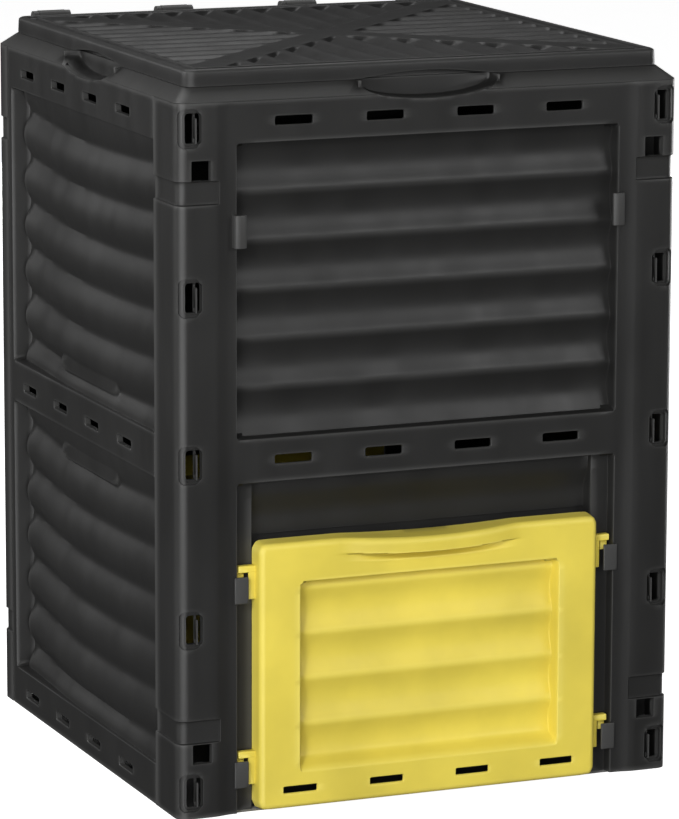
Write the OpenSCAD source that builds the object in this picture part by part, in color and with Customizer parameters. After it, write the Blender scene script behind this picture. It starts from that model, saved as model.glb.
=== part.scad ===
// Square panel compost bin: four moulded walls that hook together at the corners,
// a sloped collar on top with finger scoops, a hinged lid, and a lift-off door in the
// foot of the front wall and of the rear wall. The bottom is open to the soil.
// Millimetres, +Z up, front towards -Y, origin at the centre of the footprint on the ground.

/* [Body] */
// Outside width and depth over the corner columns
body_w = 600; // [580:5:640]
// Height of the walls, up to the collar
wall_h = 796; // [780:2:820]
// Thickness of the moulded skin
skin = 3.5; // [3:0.5:4]
// Radius of the outer corners
corner_r = 12; // [6:1:16]

/* [Wall pattern] */
// Height of the top and bottom bands of a wall
band_h = 47; // [40:1:52]
// Height of the middle band
mid_band_h = 50; // [40:1:60]
// How far the column pads stand proud of the bands
pad_rise = 3.5; // [3:0.5:4]
// Half width of the recessed field of the front and rear walls
field_half = 228.5; // [220:0.5:232]
// Number of waves in one recessed field
waves = 6; // [4:1:8]
// Depth of the wave crests behind the columns, front and rear walls
crest_depth = 16; // [14:1:20]
// Depth of the wave valleys behind the columns, front and rear walls
valley_depth = 34; // [28:1:36]
// Depth of the wave crests of the side walls
side_crest = 9; // [8:1:12]
// Depth of the wave valleys of the side walls
side_valley = 20; // [16:1:24]

/* [Vents] */
// Length of a wall vent
vent_l = 44; // [30:1:50]
// Height of a wall vent
vent_h = 10; // [6:1:14]
// Spacing of the vents along a band
vent_pitch = 108; // [100:1:112]

/* [Doors] */
// Half width of a door
door_half = 207; // [196:1:210]
// Height of the top edge of a door
door_top = 305; // [290:1:308]
// How far a door stands proud of the columns
door_proud = 6; // [4:1:8]
// How far the handle lip bulges out of the door
lip_bulge = 16; // [10:1:20]

/* [Lid] */
// Height of the lid's top face
lid_top = 830; // [826:1:836]
// Half width of the lid
lid_half = 283.2; // [280:0.2:284]
// Radius of a hinge pin
pin_r = 4; // [3:0.5:5]

/* [Hidden] */
$fn = 48;
half = body_w / 2;
frame_y = half - pad_rise;
mid_z = wall_h / 2;
mid_low = mid_z - mid_band_h / 2;
mid_high = mid_z + mid_band_h / 2;
fit_gap = 0.4;

// Corner columns of the front and rear walls
pad_half = half - 53;
front_return = 71.5;
rear_return = 33;
slot_x = 282;
slot_w = 15;
slot_l = 33;
slot_r = 4;
slot_z = [29.7, 214.4, 399.1, 583.8, 768.5];
slot_frame_w = 26;
slot_frame_l = 42;
slot_frame_r = 8;
slot_frame_shift = 3.5;
slot_frame_depth = 2.5;
lock_x = 272.3;
lock_w = 20;
lock_z = [73, 722];
groove_h = 25.5;
groove_z = [85.5, 685];
groove_depth = 3;

// Foot of the front and rear walls, where a door sits
channel_depth = 17;
bay_half = 206;
doorway_half = 185;
doorway_low = 28;
doorway_top = 288;
bay_y = half - valley_depth - skin;
bay_sheet_low = 309;
bay_crest = 22;

// Hook clips: two pairs that hold the closed door and one pair to park it on
clip_in = 216.5;
clip_out = 233;
clip_z = [29.5, 239];
clip_h = 30;
clip_plate = 3;
park_z = 636;
park_h = 36;
park_rise = 6;

// Side walls
side_y = half - skin - 0.3;
flange_x = half - skin - pad_rise - 0.6;
flange_t = 3;
flange_in = 28;
tongue_x = 278;
tongue_t = 2.6;
tongue_half = 11;
nib_h = 6;
side_field = [-252, 228.5];
side_vents = [129, 21, -87, -195];
side_vent_drop = 3;

// Collar
collar_top = 811;
collar_inset = 16.7;
mouth_half = 262;
rim_half = 272;
rim_t = 3;
rim_top = 822;
scoop_half = 82;
scoop_mid = 807;
scoop_drop = 18.5;
scoop_in = 274;

// Lid and hinge
lid_low = collar_top + 0.3;
lid_skin = 3.2;
lid_r = 12;
lid_margin = 20;
lid_field_depth = 1.6;
lid_rib_pitch = 38;
scoop_arch = 7;
hinge_y = 292;
hinge_z = 826;
knuckle_r = 8;
knuckle_w = 33;
knuckle_x = [-235.5, -80, 80, 235.5];
lug_w = 6;
lug_r = 7.5;
pin_fit = 0.08;
seat_fit = 0.03;

// Doors
door_low = 2;
door_front = half + door_proud;
door_back = half - 16;
window_half = 156.5;
window_low = 41.5;
window_top = 257.5;
door_skin = 3;
door_waves = 4;
door_crest = 19;
door_valley = 29;
door_vent_l = 40;
door_vent_h = 8;
door_vent_z = 23.5;
door_vent_x = [-157, -52.5, 52.5, 157];
lip_half = 105;
lip_h = 17;
hook_z = [61, 272];
hook_h = 8;
hook_tip = 226;
hook_web = 214;
hook_web_h = 38;
hook_front = half - 7;
hook_back = half - 15.5;
hook_lip_t = 3;
hook_lip_h = 11;

// Wave depth at height z, with a crest at z0 and the given period
function wave(z, z0, period, crest, valley) =
    crest + (valley - crest) * (1 - cos(360 * (z - z0) / period)) / 2;

// Outline of a waved sheet in the Y-Z plane: front line up, back line down
function sheet_outline(z0, z1, n, crest, valley, t) =
    let (steps = 8 * n, dz = (z1 - z0) / steps, period = (z1 - z0) / n)
    concat(
        [for (i = [0 : steps]) [-half + wave(z0 + i * dz, z0, period, crest, valley), z0 + i * dz]],
        [for (i = [steps : -1 : 0]) [-half + t + wave(z0 + i * dz, z0, period, crest, valley), z0 + i * dz]]
    );

// Extrudes a Y-Z outline along X between x0 and x1
module along_x(x0, x1) {
    translate([x0, 0, 0]) rotate([90, 0, 90]) linear_extrude(x1 - x0) children();
}

// Box between two corners
module span(low, high) {
    translate(low) cube(high - low);
}

module waved_sheet(x0, x1, z0, z1, n, crest, valley, t) {
    along_x(x0, x1) polygon(sheet_outline(z0, z1, n, crest, valley, t));
}

// Upright opening with round corners, seen from the front
module slot_shape(w, l, r) {
    for (x = [r - w / 2, w / 2 - r]) {
        for (y = [r - l / 2, l / 2 - r]) {
            translate([x, y]) circle(r = r);
        }
    }
    square([w, l - 2 * r], center = true);
    square([w - 2 * r, l], center = true);
}

// Cutter that runs through a front-facing skin from depth y0 to y1
module front_cut(x, z, y0, y1) {
    translate([x, y1, z]) rotate([90, 0, 0]) linear_extrude(y1 - y0) children();
}

// Plan of one corner column: an L with a round outer corner
module column_plan(return_l) {
    difference() {
        union() {
            translate([half - corner_r, -half + corner_r]) circle(r = corner_r);
            translate([pad_half, -half]) square([half - corner_r - pad_half, skin + pad_rise]);
            translate([field_half, -frame_y]) square([half - corner_r - field_half, skin]);
            translate([half - skin, -half + corner_r]) square([skin, return_l - corner_r]);
        }
        translate([half - skin - 2 * corner_r, -half + skin + pad_rise]) square(2 * corner_r);
    }
}

module column(return_l) {
    difference() {
        linear_extrude(wall_h) column_plan(return_l);
        for (z = slot_z) {
            front_cut(slot_x, z, -half - 1, -half + 20) slot_shape(slot_w, slot_l, slot_r);
            front_cut(slot_x + slot_frame_shift, z, -half - 1, -half + slot_frame_depth)
                slot_shape(slot_frame_w, slot_frame_l, slot_frame_r);
        }
        for (z = lock_z) {
            front_cut(lock_x, z, -half - 1, -half + 20) square(lock_w, center = true);
        }
        for (z = groove_z) {
            span([pad_half + 1, -half - 1, z], [half - corner_r, -half + groove_depth, z + groove_h]);
        }
    }
}

// Frame of the field: walls that run from the bands back to the waved sheet
module field_rim(x0, x1, z0, z1, y0, y1, t) {
    difference() {
        span([x0 - t, y0, z0 - t], [x1 + t, y1, z1 + t]);
        span([x0, y0 - 1, z0], [x1, y1 + 1, z1]);
    }
}

module band(x0, x1, z0, z1, y, vents, drop = 0) {
    zc = (z0 + z1) / 2 - drop;
    difference() {
        span([x0, -y, z0], [x1, -y + skin, z1]);
        for (x = vents) {
            front_cut(x, zc, -y - 1, -y + skin + 1) square([vent_l, vent_h], center = true);
        }
    }
}

// Clip on the edge of the bay: a plate over the channel and a foot on the column
module hook_clip(z) {
    span([clip_in, -half, z], [clip_out, -half + clip_plate, z + clip_h]);
    span([field_half + fit_gap, -half, z], [clip_out, -frame_y + 1, z + clip_h]);
}

module door_bay() {
    channel_y = -half + channel_depth;
    for (s = [0, 1]) {
        mirror([s, 0, 0]) {
            span([bay_half, channel_y, 0], [field_half + skin, channel_y + skin, mid_low]);
            span([bay_half, channel_y, 0], [bay_half + skin, -bay_y + skin, mid_low]);
            span([field_half, -frame_y, 0], [field_half + skin, channel_y + skin, mid_low]);
            for (z = clip_z) {
                hook_clip(z);
            }
        }
    }
    waved_sheet(-bay_half, bay_half, bay_sheet_low, mid_low, 1, bay_crest, valley_depth, skin);
    span([-bay_half, -half + bay_crest, bay_sheet_low - skin], [bay_half, -bay_y + skin, bay_sheet_low]);
    difference() {
        span([-bay_half, -bay_y, 0], [bay_half, -bay_y + skin, bay_sheet_low]);
        span([-doorway_half, -bay_y - 1, doorway_low], [doorway_half, -bay_y + skin + 1, doorway_top]);
    }
    span([-field_half - skin, -frame_y, mid_low], [field_half + skin, -half + valley_depth + skin, mid_low + skin]);
}

// Half an ellipse hanging from the lid's edge: the outline of a finger scoop, cut from y0 to y1
module scoop_cut(y0, y1) {
    translate([0, y1, 0]) rotate([90, 0, 0]) linear_extrude(y1 - y0)
        polygon(concat(
            [for (a = [180 : 10 : 360]) [scoop_half * cos(a), scoop_mid + scoop_drop * sin(a)]],
            [[scoop_half, collar_top + 1], [-scoop_half, collar_top + 1]]));
}

module door_wall(return_l, scooped) {
    vents = [for (i = [-1.5 : 1 : 1.5]) i * vent_pitch];
    back_y = -half + valley_depth + skin;
    column(return_l);
    mirror([1, 0, 0]) column(return_l);
    difference() {
        band(-field_half - 1, field_half + 1, wall_h - band_h, wall_h, frame_y, vents);
        if (scooped) {
            scoop_cut(-half - 1, -frame_y + skin + 0.1);
        }
    }
    band(-field_half - 1, field_half + 1, mid_low, mid_high, frame_y, vents);
    field_rim(-field_half, field_half, mid_high, wall_h - band_h, -frame_y, back_y, skin);
    waved_sheet(-field_half - 1, field_half + 1, mid_high, wall_h - band_h, waves,
        crest_depth, valley_depth, skin);
    door_bay();
}

module side_tongues() {
    for (z = slot_z) {
        span([flange_x - 1, -tongue_x, z - tongue_half], [half - 1.2, -tongue_x + tongue_t, z + tongue_half]);
        span([half - 2.2, -tongue_x, z - tongue_half - nib_h], [half - 1.2, -tongue_x + tongue_t, z]);
    }
}

// Openings in a side wall's flange: beside each tongue, and behind each lock hole
module flange_holes() {
    for (z = slot_z) {
        span([flange_x - flange_t - 1, -slot_x - slot_w / 2, z - slot_l / 2],
            [flange_x + 1, -tongue_x - 0.2, z + slot_l / 2]);
    }
    for (z = lock_z) {
        span([flange_x - flange_t - 1, -lock_x - lock_w / 2 - 1, z - lock_w / 2 - 1],
            [flange_x + 1, -side_y + flange_in + 1, z + lock_w / 2 + 1]);
    }
}

module side_wall() {
    back_y = -half + side_valley + skin;
    x0 = side_field[0];
    x1 = side_field[1];
    low_z = band_h;
    difference() {
        union() {
            band(-flange_x, flange_x, 0, low_z, side_y, side_vents, side_vent_drop);
            band(-flange_x, flange_x, mid_low, mid_high, side_y, side_vents, side_vent_drop);
            band(-flange_x, flange_x, wall_h - band_h, wall_h, side_y, side_vents, side_vent_drop);
            span([-flange_x, -side_y, 0], [x0, -side_y + skin, wall_h]);
            span([x1, -side_y, 0], [flange_x, -side_y + skin, wall_h]);
        }
        scoop_cut(-half - 1, -side_y + skin + 0.1);
    }
    field_rim(x0, x1, mid_high, wall_h - band_h, -side_y, back_y, skin);
    field_rim(x0, x1, low_z, mid_low, -side_y, back_y, skin);
    waved_sheet(x0 - 1, x1 + 1, mid_high, wall_h - band_h, waves, side_crest, side_valley, skin);
    waved_sheet(x0 - 1, x1 + 1, low_z, mid_low, waves, side_crest, side_valley, skin);
    for (s = [0, 1]) {
        mirror([s, 0, 0]) {
            difference() {
                span([flange_x - flange_t, -side_y, 0], [flange_x, -side_y + flange_in, wall_h]);
                flange_holes();
            }
            side_tongues();
        }
    }
}

// Square pyramid frustum between the wall tops and the lid
module frustum(bottom, top, z0, z1) {
    outline = [[-bottom, z0], [bottom, z0], [top, z1], [-top, z1]];
    intersection() {
        along_x(-half, half) polygon(outline);
        translate([0, half, 0]) rotate([90, 0, 0]) linear_extrude(2 * half) polygon(outline);
    }
}

module square_ring(outer, inner, z0, z1) {
    difference() {
        span([-outer, -outer, z0], [outer, outer, z1]);
        span([-inner, -inner, z0 - 1], [inner, inner, z1 + 1]);
    }
}

module front_left_right() {
    for (a = [0, 90, -90]) {
        rotate([0, 0, a]) children();
    }
}

module hinge_lug(x) {
    difference() {
        union() {
            translate([x, hinge_y, hinge_z]) rotate([0, 90, 0]) cylinder(r = lug_r, h = lug_w);
            span([x, hinge_y - lug_r + 1.5, wall_h + 2], [x + lug_w, hinge_y + 4, hinge_z]);
        }
        translate([x - 1, hinge_y, hinge_z]) rotate([0, 90, 0]) cylinder(r = pin_r + seat_fit, h = lug_w + 2);
    }
}

module collar() {
    top_half = half - collar_inset;
    color("#2a2b2a") {
        difference() {
            union() {
                difference() {
                    frustum(half, top_half, wall_h, collar_top);
                    translate([0, 0, -skin]) frustum(half - skin, top_half - skin, wall_h, collar_top);
                    span([-half + skin, -half + skin, wall_h - 1], [half - skin, half - skin, wall_h]);
                    span([-mouth_half, -mouth_half, wall_h], [mouth_half, mouth_half, collar_top + 1]);
                }
                square_ring(rim_half, rim_half - rim_t, collar_top - 1, rim_top);
                front_left_right() {
                    span([-scoop_half - 3, -half + 7.6, scoop_mid - scoop_drop - 3],
                        [scoop_half + 3, -scoop_in + 3, collar_top]);
                }
                for (a = [0 : 90 : 270]) {
                    rotate([0, 0, a])
                        span([-240, -half + 7.6, wall_h - 12], [240, -half + 10.6, wall_h + 2]);
                }
            }
            front_left_right() {
                scoop_cut(-half - 1, -scoop_in);
            }
        }
        for (x = knuckle_x) {
            hinge_lug(x - knuckle_w / 2 - fit_gap - lug_w);
            hinge_lug(x + knuckle_w / 2 + fit_gap);
        }
    }
}

module round_square(h, r) {
    hull_half = h - r;
    for (x = [-hull_half, hull_half]) {
        for (y = [-hull_half, hull_half]) {
            translate([x, y]) circle(r = r);
        }
    }
    square([2 * h, 2 * hull_half], center = true);
    square([2 * hull_half, 2 * h], center = true);
}

// Triangular field between the diagonal bands, front one; the ribs in it stand as high as the lid
module lid_field() {
    near = lid_half - lid_margin;
    band_w = 34;
    difference() {
        translate([0, 0, lid_top - lid_field_depth]) linear_extrude(5)
            polygon([[-near + band_w, -near], [near - band_w, -near], [0, -band_w]]);
        for (x = [-6 : 6]) {
            span([x * lid_rib_pitch - 6, -near - 1, lid_top - 5], [x * lid_rib_pitch + 6, 0, lid_top]);
        }
    }
}

module lid() {
    color("#2c2d2c") {
        difference() {
            union() {
                difference() {
                    translate([0, 0, lid_low]) linear_extrude(lid_top - lid_low) round_square(lid_half, lid_r);
                    translate([0, 0, lid_low - 1]) linear_extrude(lid_top - lid_skin - lid_low + 1)
                        round_square(lid_half - lid_skin, lid_r - lid_skin);
                    for (a = [0 : 90 : 270]) {
                        rotate([0, 0, a]) lid_field();
                    }
                    front_left_right() {
                        span([-scoop_half, -half, lid_low - 1], [scoop_half, -lid_half + lid_skin + 1,
                            lid_low + scoop_arch]);
                    }
                }
                for (x = knuckle_x) {
                    translate([x - knuckle_w / 2, hinge_y, hinge_z]) rotate([0, 90, 0])
                        cylinder(r = knuckle_r, h = knuckle_w);
                    span([x - knuckle_w / 2, lid_half - 1, hinge_z - 6], [x + knuckle_w / 2, hinge_y, lid_top]);
                }
            }
            for (x = knuckle_x) {
                translate([x - knuckle_w / 2 - 1, hinge_y, hinge_z]) rotate([0, 90, 0])
                    cylinder(r = pin_r + pin_fit, h = knuckle_w + 2);
            }
        }
    }
}

module hinge_pin(i) {
    pin_l = knuckle_w + 2 * fit_gap + 2 * lug_w;
    color("#3a3b3a") translate([knuckle_x[i] - pin_l / 2, hinge_y, hinge_z]) rotate([0, 90, 0])
        cylinder(r = pin_r, h = pin_l);
}

// Hook: a web beside the clip, a flange that lies on it and a lip that drops behind its plate
module door_hook(z) {
    span([door_half - 3, -hook_front, z + hook_h - hook_web_h], [hook_web, -hook_front + 3, z + hook_h]);
    span([door_half - 3, -hook_front, z + fit_gap], [hook_tip, -hook_back, z + hook_h]);
    span([clip_in + 1, -hook_back - hook_lip_t, z - hook_lip_h], [hook_tip, -hook_back, z + 2]);
}

module door() {
    z1 = door_top;
    lip_r = (lip_half * lip_half + lip_bulge * lip_bulge) / (2 * lip_bulge);
    color("#e8c93a") {
        difference() {
            union() {
                difference() {
                    span([-door_half, -door_front, door_low], [door_half, -door_back, z1]);
                    span([-door_half + door_skin, -door_front + skin, door_low + door_skin],
                        [door_half - door_skin, -door_back + 1, z1 - door_skin]);
                    span([-window_half, -door_front - 1, window_low], [window_half, -door_back + 1, window_top]);
                }
                field_rim(-window_half, window_half, window_low, window_top, -door_front,
                    -half + door_valley + door_skin, door_skin);
                waved_sheet(-window_half - 1, window_half + 1, window_low, window_top, door_waves,
                    door_crest, door_valley, door_skin);
                intersection() {
                    translate([0, -door_front - lip_bulge + lip_r, z1 - lip_h]) cylinder(r = lip_r, h = lip_h, $fn = 240);
                    span([-lip_half, -door_front - lip_bulge - 1, z1 - lip_h], [lip_half, -door_front + 1, z1]);
                }
            }
            for (x = door_vent_x) {
                front_cut(x, door_vent_z, -door_front - 1, -door_front + skin + 1)
                    square([door_vent_l, door_vent_h], center = true);
            }
        }
        for (s = [0, 1]) {
            mirror([s, 0, 0]) {
                for (z = hook_z) {
                    door_hook(z);
                }
            }
        }
    }
}

// Parking clip: a foot on the column, a plate that stands proud and a tongue on the far side
module parking_clip() {
    color("#262726") {
        span([clip_in, -half - park_rise, park_z], [field_half + 6, -half - park_rise + clip_plate, park_z + park_h]);
        span([field_half - 6, -half - park_rise, park_z], [field_half - 0.2, -half + 10, park_z + park_h]);
        span([field_half - 1, -half - park_rise, park_z], [field_half + 6, -frame_y - 0.1, park_z + park_h]);
    }
}

module front_wall() { color("#303130") door_wall(front_return, true); }
module rear_wall() { color("#303130") rotate([0, 0, 180]) door_wall(rear_return, false); }
module left_wall() { color("#343534") rotate([0, 0, -90]) side_wall(); }
module right_wall() { color("#343534") mirror([1, 0, 0]) rotate([0, 0, -90]) side_wall(); }

front_wall();
rear_wall();
left_wall();
right_wall();
collar();
lid();
door();  // front_door
rotate([0, 0, 180]) door();  // rear_door
mirror([1, 0, 0]) parking_clip();  // front_parking_clip_left
parking_clip();  // front_parking_clip_right
rotate([0, 0, 180]) parking_clip();  // rear_parking_clip_left
rotate([0, 0, 180]) mirror([1, 0, 0]) parking_clip();  // rear_parking_clip_right
hinge_pin(0);  // hinge_pin_1
hinge_pin(1);  // hinge_pin_2
hinge_pin(2);  // hinge_pin_3
hinge_pin(3);  // hinge_pin_4
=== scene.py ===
"""Panel compost bin. Detailed walls, collar, lid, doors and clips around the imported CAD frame.

Shapes are worked out in millimetres in the frame of the CAD (+Z up, front towards -Y) and
written to Blender in metres. Each wall is a closed shell: a height field that is unrolled
along the wall's plan, with an inner face that follows the outer one.
"""

import math

import bpy
import numpy as np
from mathutils import Matrix, Vector


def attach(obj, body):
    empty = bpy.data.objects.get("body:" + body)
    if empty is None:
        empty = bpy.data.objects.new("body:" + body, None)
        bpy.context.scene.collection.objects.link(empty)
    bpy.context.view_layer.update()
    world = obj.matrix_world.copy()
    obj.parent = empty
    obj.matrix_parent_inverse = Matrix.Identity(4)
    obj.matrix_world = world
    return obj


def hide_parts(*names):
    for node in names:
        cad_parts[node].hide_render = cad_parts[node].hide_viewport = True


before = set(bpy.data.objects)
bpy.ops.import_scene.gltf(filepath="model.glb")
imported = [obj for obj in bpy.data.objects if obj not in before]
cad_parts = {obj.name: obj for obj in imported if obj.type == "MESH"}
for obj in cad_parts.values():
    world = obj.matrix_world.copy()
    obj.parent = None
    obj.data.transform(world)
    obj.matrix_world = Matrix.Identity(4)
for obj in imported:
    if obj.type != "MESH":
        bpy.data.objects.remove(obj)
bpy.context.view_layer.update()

MM = 0.001

# ---------------------------------------------------------------- sizes
# Most are the CAD's. The wave depths, hook slots, lock holes, tongues and parking clips are
# this model's own, inside the CAD's box.
HALF = 300.0
WALL_H = 796.0
SKIN = 3.5
PAD_RISE = 3.5
CORNER_R = 12.0
PAD_HALF = 247.0
FIELD_HALF = 228.5
FIELD_Z = (423.0, 749.0)
LOW_FIELD_Z = (47.0, 373.0)
MID_LOW = 373.0
WAVES = 6
CREST, VALLEY = 17.0, 23.5
SIDE_CREST, SIDE_VALLEY = 9.0, 20.0
FRONT_RETURN, REAR_RETURN = 71.5, 33.0
CHANNEL_DEPTH = 17.0
BAY_HALF = 206.0
BAY_DEPTH = 37.5
BAY_SILL, BAY_ROUND = 309.0, 326.0
BAY_WAVE_Z, BAY_WAVE_PITCH, BAY_CREST, BAY_VALLEY = 366.0, 80.0, 23.0, 34.0
BELOW_GROUND = -50.0
GROOVE_Z = ((85.5, 111.0), (685.0, 710.5))
SLOT_X, SLOT_W, SLOT_L, SLOT_R = 280.5, 18.0, 33.0, 4.0
SLOT_Z = (29.7, 214.4, 399.1, 583.8, 768.5)
LOCK_X, LOCK_W = 271.5, 22.0
LOCK_Z = (73.0, 722.0)
VENT_L, VENT_H, VENT_PITCH = 44.5, 10.0, 108.0
BAND_Z = (772.5, 398.0)
PAD_FADE, EDGE_W = 24.0, 1.7
DOORWAY = (185.0, 28.0, 288.0)
CLIP_Z, CLIP_H = (29.5, 239.0), 30.0

SIDE_FACE = 296.2
FLANGE_X = 292.4
SIDE_FIELD = (-228.5, 252.0)
SIDE_VENTS = (-129.0, -21.0, 87.0, 195.0)
SIDE_VENT_Z = (769.5, 395.0, 20.5)
SIDE_FLUSH, SIDE_FLUSH_ENDS = 3.2, (-227.5, 266.0)
SIDE_BOW = 9.0
SIDE_SAG = 8.0
PLATE_Z, PLATE_ENDS, PLATE_HALF = (447.5, 343.5), (-90.0, 100.0), 9.5
TONGUE_X = 278.0

SCOOP_HALF, SCOOP_MID, SCOOP_DROP, SCOOP_BACK = 82.0, 807.0, 18.5, 26.0

LID_TOP = 830.0
LID_SKIN = 3.2
LID_PITCH = 38.0
LID_VALLEY = 5.5
SCOOP_ARCH, SCOOP_TOP = 7.0, 813.0
HINGE_Y, HINGE_Z = 292.0, 826.0
KNUCKLE_X = (-235.5, -80.0, 80.0, 235.5)
KNUCKLE_W, KNUCKLE_R = 33.0, 8.0
PIN_R = 4.0
LUG_W, LUG_R = 6.0, 7.5

DOOR_HALF, DOOR_LOW, DOOR_TOP = 205.5, 2.0, 305.0
DOOR_FRONT, DOOR_BACK = 306.0, 284.0
DOOR_SKIN = 3.0
DOOR_EDGE = 6.5
WINDOW_HALF, WINDOW_Z = 156.5, (41.5, 259.0)
LIP_HALF, LIP_BULGE, LIP_HOLLOW = 105.0, 16.0, 11.0
DOOR_VENT_X = (-157.0, -52.5, 52.5, 157.0)
DOOR_VENT_Z, DOOR_VENT_L, DOOR_VENT_H = 23.5, 40.5, 8.0
DOOR_WAVE_Z, DOOR_WAVE_PITCH = 43.0, 51.75
DOOR_CREST, DOOR_VALLEY = 13.0, 20.0
HOOK_Z = (61.0, 272.0)
PARK_Z, PARK_H = 636.0, 36.0


# ---------------------------------------------------------------- number helpers
def smooth(t):
    t = np.clip(t, 0.0, 1.0)
    return t * t * (3.0 - 2.0 * t)


def fade(d, w):
    """1 where the distance d is well inside an outline, 0 well outside, over the width w."""
    return smooth(0.5 - d / w)


def rect_distance(u, v, u0, u1, v0, v1, r=0.0):
    """Signed distance to a rectangle with corner radius r, negative inside."""
    qu = np.abs(u - (u0 + u1) / 2) - ((u1 - u0) / 2 - r)
    qv = np.abs(v - (v0 + v1) / 2) - ((v1 - v0) / 2 - r)
    outside = np.hypot(np.maximum(qu, 0), np.maximum(qv, 0))
    return outside + np.minimum(np.maximum(qu, qv), 0) - r


def wave(z, z0, period, crest, valley):
    """Wave depth at height z, with a crest at z0."""
    return crest + (valley - crest) * (1 - np.cos(2 * np.pi * (z - z0) / period)) / 2


def scallop(z, z0, period, crest, valley):
    """A wave with narrow crests, rounded a little by softness, and round valleys."""
    softness, lowest, highest = 0.03, 0.173, 1.015
    root = np.sqrt(wave(z, z0, period, 0.0, 1.0) + softness)
    return crest + (valley - crest) * (root - lowest) / (highest - lowest)


def spaced(lo, hi, step, edges=()):
    """Grid positions about step apart, with close ones across each (position, width) edge."""
    marks = {lo, hi}
    for position, width in edges:
        marks.update(position + width * k for k in np.linspace(-0.6, 0.6, 7))
    marks = sorted(m for m in marks if lo <= m <= hi)
    out = [marks[0]]
    for mark in marks[1:]:
        gap = mark - out[-1]
        if gap < 0.08 and mark < hi:
            continue
        n = max(1, math.ceil(gap / step))
        start = out[-1]
        out += [start + gap * (k + 1) / n for k in range(n)]
    return np.array(out)


# ---------------------------------------------------------------- mesh helpers
TURNS = {
    "front": np.array([[1.0, 0.0], [0.0, 1.0]]),
    "rear": np.array([[-1.0, 0.0], [0.0, -1.0]]),
    "left": np.array([[0.0, 1.0], [-1.0, 0.0]]),
    "right": np.array([[0.0, -1.0], [-1.0, 0.0]]),
}


def turned(points, side):
    """Points that are given as if on the front, taken round to another side."""
    points = np.array(points, float).reshape(-1, 3)
    points[:, :2] = points[:, :2] @ TURNS[side].T
    return points


def signed_volume(points, faces):
    total = 0.0
    for f in faces:
        a = points[f[0]]
        for i in range(1, len(f) - 1):
            total += np.dot(a, np.cross(points[f[i]], points[f[i + 1]]))
    return total


def quads_volume(points, quads):
    a, b, c, d = (points[quads[:, i]] for i in range(4))
    return np.einsum("ij,ij->i", a, np.cross(b, c) + np.cross(c, d)).sum()


def rounded_grid(half_u, half_v, radius, us, vs):
    """A grid over a rectangle whose corners are drawn in to the given radius."""
    U, V = np.meshgrid(us, vs, indexing="ij")
    a = np.clip((np.abs(U) - (half_u - radius)) / radius, 0, 1)
    b = np.clip((np.abs(V) - (half_v - radius)) / radius, 0, 1)
    both = (a > 0) & (b > 0)
    u = np.where(both, np.sign(U) * (half_u - radius + radius * a * np.sqrt(1 - b * b / 2)), U)
    v = np.where(both, np.sign(V) * (half_v - radius + radius * b * np.sqrt(1 - a * a / 2)), V)
    return u, v


def grid_quads(n, m):
    i = np.arange(n * m).reshape(n, m)
    return np.stack([i[:-1, :-1], i[1:, :-1], i[1:, 1:], i[:-1, 1:]], -1).reshape(-1, 4)


def grid_rim(n, m):
    i = np.arange(n * m).reshape(n, m)
    return np.concatenate([i[:-1, 0], i[-1, :-1], i[:0:-1, -1], i[0, :0:-1]])


def shell(outer, inner):
    """A closed shell between two (n, m, 3) grids of points."""
    n, m = outer.shape[:2]
    points = np.vstack([outer.reshape(-1, 3), inner.reshape(-1, 3)])
    face = grid_quads(n, m)
    rim = grid_rim(n, m)
    after = np.roll(rim, -1)
    wall = np.stack([after, rim, rim + n * m, after + n * m], 1)
    return points, np.vstack([face, face[:, ::-1] + n * m, wall])


def loft(top, rings, bottom):
    """A closed body: a top grid, rings of points that follow its rim, and a bottom grid."""
    n, m = top.shape[:2]
    rim = grid_rim(n, m)
    face = grid_quads(n, m)
    points = [top.reshape(-1, 3)]
    quads = [face]
    last, base = rim, n * m
    for ring in rings:
        now = base + np.arange(len(rim))
        points.append(ring)
        quads.append(np.stack([np.roll(last, -1), last, now, np.roll(now, -1)], 1))
        last, base = now, base + len(rim)
    points.append(bottom.reshape(-1, 3))
    now = base + rim
    quads.append(np.stack([np.roll(last, -1), last, now, np.roll(now, -1)], 1))
    quads.append(face[:, ::-1] + base)
    return np.vstack(points), np.vstack(quads)


def band_loop(rings):
    """A closed ring-shaped body from loops of points, the last joined to the first."""
    count = len(rings[0])
    points = np.vstack(rings)
    quads = []
    for k in range(len(rings)):
        a = k * count + np.arange(count)
        b = ((k + 1) % len(rings)) * count + np.arange(count)
        quads.append(np.stack([np.roll(a, -1), a, b, np.roll(b, -1)], 1))
    return points, np.vstack(quads)


def prism(sections):
    """A closed body through sections with equal numbers of points."""
    count = len(sections[0])
    points = np.vstack(sections)
    faces = [list(range(count))[::-1]]
    for k in range(len(sections) - 1):
        for i in range(count):
            j = (i + 1) % count
            a, b = k * count, (k + 1) * count
            faces.append([a + i, a + j, b + j, b + i])
    last = (len(sections) - 1) * count
    faces.append([last + i for i in range(count)])
    return points, faces


def rounded_rect(w, h, r, steps=6):
    """Corner-rounded rectangle about the origin, as (u, v) points."""
    out = []
    for k, (cu, cv) in enumerate([(1, 1), (-1, 1), (-1, -1), (1, -1)]):
        for i in range(steps + 1):
            a = math.pi / 2 * (k + i / steps)
            out.append((cu * (w / 2 - r) + r * math.cos(a), cv * (h / 2 - r) + r * math.sin(a)))
    return np.array(out)


def front_prism(x, z, w, h, r, depths, grows):
    """A body seen from the front as a rounded rectangle, through depths behind y = -300."""
    sections = []
    for d, g in zip(depths, grows):
        o = rounded_rect(w + 2 * g, h + 2 * g, max(r + g, 0.3))
        sections.append(np.column_stack([x + o[:, 0], np.full(len(o), -HALF + d), z + o[:, 1]]))
    return prism(sections)


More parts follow.
